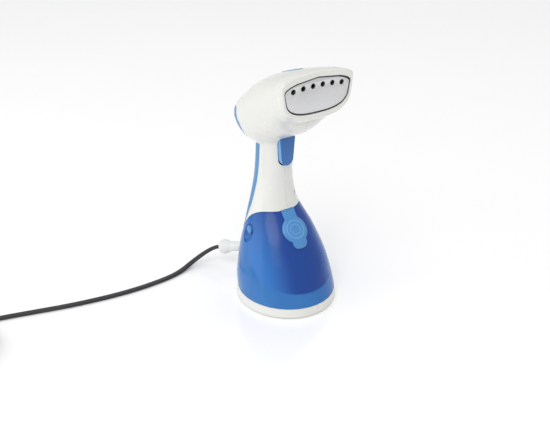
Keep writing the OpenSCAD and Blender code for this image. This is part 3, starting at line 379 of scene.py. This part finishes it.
def layLead():
    millimetres = lambda route: [tuple(v / 1000 for v in p) for p in route]
    path = curvePoints(millimetres(leadRun) + woundTurns() + millimetres(leadTail), lead["step"])
    outline = []
    for k in range(20):   # two round cores side by side, with a groove between them
        a = 2 * math.pi * (k + 0.5) / 20
        across = math.cos(a) * lead["width"] / 2
        share = abs(across) / (lead["width"] / 2)
        dip = lead["groove"] * max(0.0, 1 - share * 3.2)
        high = lead["thick"] / 2 * (1 - max(0.0, share - 0.5) ** 2 * 3.2) - dip
        up = math.copysign(high if abs(math.sin(a)) > 0.35 else high * abs(math.sin(a)) / 0.35, math.sin(a))
        outline.append((across, up))
    mesh = bpy.data.meshes.new("mainsLead")
    build = bmesh.new()
    rings = []
    for k, point in enumerate(path):
        ahead = (path[min(len(path) - 1, k + 1)] - path[max(0, k - 1)]).normalized()
        side = ahead.cross(Vector((0, 0, 1))).normalized()
        over = side.cross(ahead).normalized()
        rings.append([build.verts.new(point + side * a + over * b) for a, b in outline])
    for near, far in zip(rings, rings[1:]):
        for k in range(len(outline)):
            j = (k + 1) % len(outline)
            build.faces.new((near[k], near[j], far[j], far[k]))
    build.faces.new(rings[0][::-1])
    build.faces.new(rings[-1])
    bmesh.ops.recalc_face_normals(build, faces=build.faces)
    build.to_mesh(mesh)
    build.free()
    piece = bpy.data.objects.new("mainsLead", mesh)
    bpy.context.scene.collection.objects.link(piece)
    only(piece)
    bpy.ops.object.shade_smooth_by_angle(angle=math.radians(50))
    paint(piece, "cordBlack")
    finishPiece(piece, "mainsLead", "body", ["cord_run", "cord_coil", "cord_tail"])
    length = sum((q - p).length for p, q in zip(path, path[1:]))
    return piece, path, length


mainsLead, leadPath, leadLength = layLead()
print("lead laid, metres:", round(leadLength, 3))
plugPiece = smoothed("plug_body", "plugBody", "blackPlastic", 40)


# --- strain relief: a ribbed neck that opens into a rounded bell ---
relief = {"from": (-0.0072, 0.0506, 0.0401), "to": (-0.0299, 0.0935, 0.0265), "neck": 0.006, "ribs": 7,
          "rise": 0.0006, "flange": 0.0085, "flangeThick": 0.002, "bell": 0.017, "wide": 0.009, "lip": 0.0064,
          "bore": 0.6, "boreDepth": 0.0035, "sides": 48, "steps": 110}


def turnedProfile(along, span):
    # radius of the relief at a distance along it
    if along < relief["flangeThick"]:
        return relief["flange"]
    bellStart = span - relief["bell"]
    if along < bellStart:
        share = (along - relief["flangeThick"]) / (bellStart - relief["flangeThick"])
        wave = 0.5 + 0.5 * math.cos(2 * math.pi * relief["ribs"] * share)
        return relief["neck"] - relief["rise"] * (1 - min(1.0, wave * 1.6)) * min(1.0, 4 - 4 * share)
    t = (along - bellStart) / relief["bell"]
    if t < 0.7:
        ease = t / 0.7
        return relief["neck"] + (relief["wide"] - relief["neck"]) * ease * ease * (3 - 2 * ease)
    turn = (t - 0.7) / 0.3
    return relief["wide"] - (relief["wide"] - relief["lip"]) * (1 - math.sqrt(max(0.0, 1 - turn * turn)))


def reliefPiece():
    start, end = Vector(relief["from"]), Vector(relief["to"])
    span = (end - start).length
    bpy.ops.object.select_all(action="DESELECT")
    bpy.ops.mesh.primitive_cylinder_add(vertices=relief["sides"], radius=relief["neck"], depth=span,
                                        location=(0, 0, span / 2), end_fill_type="NOTHING")
    piece = bpy.context.object
    settle(piece)
    bpy.ops.object.mode_set(mode="EDIT")
    shape = bmesh.from_edit_mesh(piece.data)
    uprights = [e for e in shape.edges if abs(e.verts[0].co.z - e.verts[1].co.z) > span * 0.5]
    bmesh.ops.subdivide_edges(shape, edges=uprights, cuts=relief["steps"], use_grid_fill=True)
    for v in shape.verts:
        radius = turnedProfile(v.co.z, span)
        flat = Vector((v.co.x, v.co.y, 0)).normalized() * radius
        v.co = Vector((flat.x, flat.y, v.co.z))
    bmesh.update_edit_mesh(piece.data)
    for level, bored in ((span, True), (0.0, False)):
        bpy.ops.mesh.select_all(action="DESELECT")
        shape = bmesh.from_edit_mesh(piece.data)
        for e in shape.edges:
            if all(abs(v.co.z - level) < 1e-6 for v in e.verts):
                e.select_set(True)
        bmesh.update_edit_mesh(piece.data)
        if bored:
            bpy.ops.mesh.extrude_edges_move()
            bpy.ops.transform.resize(value=(relief["bore"], relief["bore"], 1))
            bpy.ops.mesh.extrude_edges_move(TRANSFORM_OT_translate={"value": (0, 0, -relief["boreDepth"])})
        bpy.ops.mesh.edge_face_add()
    bpy.ops.mesh.select_all(action="SELECT")
    bpy.ops.mesh.normals_make_consistent(inside=False)
    bpy.ops.object.mode_set(mode="OBJECT")
    aim = (end - start).to_track_quat("Z", "Y").to_matrix().to_4x4()
    piece.matrix_world = Matrix.Translation(start) @ aim
    settle(piece)
    bpy.ops.object.shade_smooth_by_angle(angle=math.radians(50))
    paint(piece, "reliefWhite")
    return finishPiece(piece, "reliefSleeve", "body", ["strain_relief"])


reliefPiece()
print("strain relief made")


# --- outer mouldings ---
mouldings = [
    ("housing_left", "housingLeft", "white", 32, 0), ("housing_right", "housingRight", "white", 32, 0),
    ("nozzle_ring", "nozzleRing", "white", 32, 0), ("base", "baseRing", "white", 32, 0),
    ("tank_shell", "tankShell", "tank", 32, 0), ("tank_floor", "tankFloor", "tank", 32, 0),
    ("rear_grip", "rearGrip", "gripBlue", 35, 0), ("head_rear_trim", "headRearTrim", "gripBlue", 35, 0),
    ("indicator_lens", "indicatorLens", "lensBlue", 35, 0), ("fill_cap", "fillCap", "capBlue", 35, 0.0005),
    ("trigger", "triggerLever", "triggerBlue", 35, 0.0003),
    ("release_button_left", "releaseButtonLeft", "capBlue", 35, 0.0003),
    ("release_button_right", "releaseButtonRight", "capBlue", 35, 0.0003),
    # the plate gasket is painted black rubber as painted shadow for the dark gap round the steam plate
    ("steam_plate", "steamPlate", "face", 35, 0.0002), ("plate_gasket", "plateGasketPaintedShadow", "blackRubber", 35, 0),
]
pieces = {}
for node, name, look, angle, edge in mouldings:
    pieces[name] = smoothed(node, name, look, angle, edge)
print("mouldings made:", len(pieces))


# --- raised rings on the cap's pad, laid on the pad's curved surface, in a lighter copy of the cap blue as painted highlight ---
capRing = {"middle": (0.0, -0.0153, 0.088), "out": (0.0, -0.778, 0.628),
           "rings": [(0.0103, 0.0010), (0.0060, 0.0007)], "sink": 0.0001}


def layCapRing(number, radius, thick):
    outward = Vector(capRing["out"]).normalized()
    bpy.ops.object.select_all(action="DESELECT")
    bpy.ops.mesh.primitive_torus_add(major_radius=radius, minor_radius=thick,
                                     major_segments=96, minor_segments=12)
    ring = bpy.context.object
    aim = outward.to_track_quat("Z", "Y").to_matrix().to_4x4()
    ring.matrix_world = Matrix.Translation(capRing["middle"]) @ aim
    settle(ring)
    pad = pieces["fillCap"]
    middle = Vector(capRing["middle"])
    for v in ring.data.vertices:
        flat = v.co - middle
        height = flat.dot(outward)
        foot = middle + (flat - outward * height).normalized() * radius
        hit, spot, *_ = pad.ray_cast(foot + outward * 0.02, -outward)
        rise = (spot - foot).dot(outward) if hit else 0.0
        v.co += outward * (rise - capRing["sink"] - height * 0.35)
    bpy.ops.object.shade_smooth()
    paint(ring, "capRingPaintedHighlight")
    return finishPiece(ring, "capRing" + str(number), "fill_cap")


for number, (radius, thick) in enumerate(capRing["rings"]):
    layCapRing(number + 1, radius, thick)
print("cap rings laid")


def paintTriggerLightAndShade():
    # the pressed face keeps the darker blue as painted shade, and the walls beside it get a lighter copy of
    # the blue as painted light
    lever = pieces["triggerLever"].data
    lever.materials.append(looks["triggerSidePaintedLight"])
    for face in lever.polygons:
        if face.normal.y > -0.75:
            face.material_index = 1


paintTriggerLightAndShade()


# --- inside parts keep their own shapes ---
insideLooks = {
    "jetBlack": ["steam_jets"], "cast": ["steam_manifold", "boiler_body", "boiler_cover"],
    "redSilicone": ["boiler_gasket"],
    "steel": ["base_screws", "housing_screws", "boiler_screws", "heating_element", "thermal_fuse",
              "trigger_pin", "trigger_spring", "pump_frame", "pump_plunger", "pump_spring",
              "button_spring_left", "button_spring_right"],
    "blackPlastic": ["thermostat", "microswitch", "cord_tie"], "blackRubber": ["base_pad", "spigot_seal"],
    "greyPlastic": ["switch_bracket", "pump_tube", "pickup_filter", "inlet_spigot", "cord_clamp"],
    "board": ["control_board"], "copper": ["pump_coil"], "brass": ["plug_blades"],
    "cordBlack": ["internal_leads"],
    "silicone": ["suction_hose", "delivery_hose", "pickup_tube", "outlet_valve"], "capBlue": ["cap_plug"],
    "amber": ["indicator_lamp"],
}
for look, held in insideLooks.items():
    for node in held:
        paint(nodes[node], look)
for node in nodes:
    if not any(node in held for held in insideLooks.values()) and not nodes[node].hide_render:
        print("not painted:", node)
print("inside parts painted")


# --- floor and light ---
studio = {"floor": 40.0, "floorColour": (0.98, 0.98, 0.985), "floorGlow": 0.05, "world": 0.6,
          "suns": [("key", (-1.0, -0.9, 1.5), 40.0, 1.05), ("top", (0.5, 0.5, 1.4), 60.0, 0.45)],
          "lamps": [("side", (-1.6, 0.5, 0.6), 1.6, 8.0)]}


def buildStudio():
    bpy.ops.object.select_all(action="DESELECT")
    bpy.ops.mesh.primitive_plane_add(size=studio["floor"], location=(0, 0, 0))
    floor = bpy.context.object
    floor.name = "floor"
    mat, tree, shader = freshMaterial("floorWhite")
    grain = pattern(tree, 3.0, 2.0)
    stops = [(0.3, shade(studio["floorColour"], 0.99)), (0.7, studio["floorColour"])]
    tree.links.new(tint(tree, grain, stops), shader.inputs["Base Color"])
    shader.inputs["Roughness"].default_value = 0.14
    shader.inputs["Specular IOR Level"].default_value = 0.5
    shader.inputs["Emission Color"].default_value = (1, 1, 1, 1)
    shader.inputs["Emission Strength"].default_value = studio["floorGlow"]
    floor.data.materials.append(mat)
    world = bpy.data.worlds.new("studio")
    world.use_nodes = True
    world.node_tree.nodes["Background"].inputs["Color"].default_value = (1, 1, 1, 1)
    seen = world.node_tree.nodes.new("ShaderNodeLightPath").outputs["Is Camera Ray"]
    glow = spread(world.node_tree, seen, studio["world"], 1.0, 0.0, 1.0)
    world.node_tree.links.new(glow, world.node_tree.nodes["Background"].inputs["Strength"])
    bpy.context.scene.world = world
    for name, place, spreadAngle, strength in studio["suns"]:
        data = bpy.data.lights.new(name, "SUN")
        data.angle, data.energy = math.radians(spreadAngle), strength
        lamp = bpy.data.objects.new(name, data)
        lamp.location = place
        lamp.rotation_euler = Vector(place).to_track_quat("Z", "Y").to_euler()
        bpy.context.scene.collection.objects.link(lamp)
    for name, place, size, power in studio["lamps"]:
        data = bpy.data.lights.new(name, "AREA")
        data.shape, data.size, data.energy = "SQUARE", size, power
        lamp = bpy.data.objects.new(name, data)
        lamp.location = place
        lamp.rotation_euler = (Vector((0, 0, 0.12)) - Vector(place)).to_track_quat("-Z", "Y").to_euler()
        bpy.context.scene.collection.objects.link(lamp)


buildStudio()
bpy.context.scene.view_settings.view_transform = "Standard"
print("studio built")
